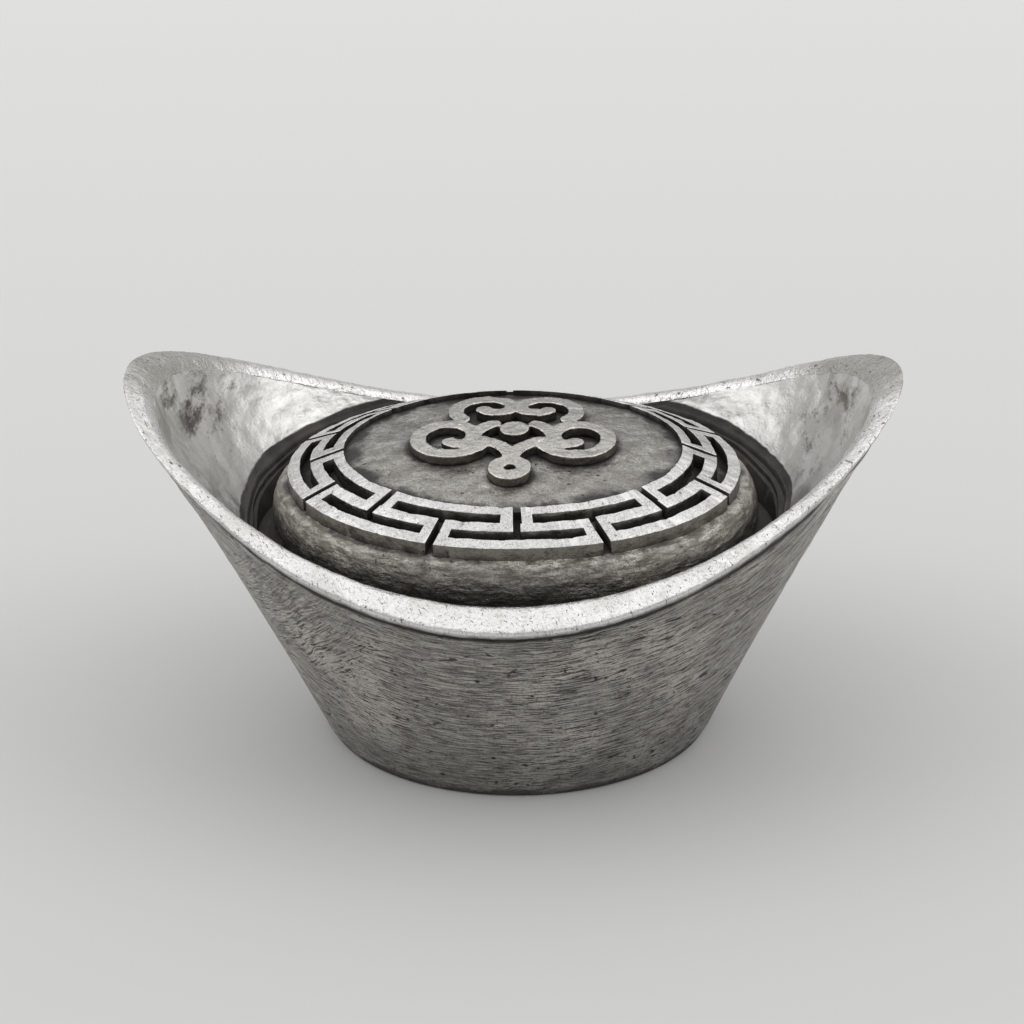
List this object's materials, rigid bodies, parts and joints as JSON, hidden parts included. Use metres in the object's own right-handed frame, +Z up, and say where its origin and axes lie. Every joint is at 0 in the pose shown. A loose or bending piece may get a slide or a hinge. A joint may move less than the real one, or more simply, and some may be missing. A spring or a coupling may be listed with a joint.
{
  "type": "silver ingot",
  "caption": "Boat-shaped cast silver sycee ingot with two raised ears, a domed centre seated in a dark groove, a key-fret band and a raised cloud ornament; stands on its oval foot.",
  "frame": {"origin": "the middle of the flat underside", "axes": "+X from the centre to one ear tip, +Y across the ingot, +Z up through the dome"},
  "size_m": [0.062, 0.0402, 0.0311],
  "materials": {
    "brushed_silver": "cast silver, file-brushed satin with pits and grey tarnish",
    "polished_silver": "worn bright polish with fine scratches",
    "patinated_silver": "grained silver with dark warm patina in the corners",
    "dark_solder": "matt, blackened silver solder"
  },
  "bodies": {
    "root": {"hull": "brushed_silver", "rim_band": "polished_silver", "base_plate": "brushed_silver", "dome": "patinated_silver", "seat_solder": "dark_solder", "fret_band": "polished_silver", "medallion_plate": "patinated_silver", "cloud_ornament": "polished_silver"}
  },
  "joints": []
}
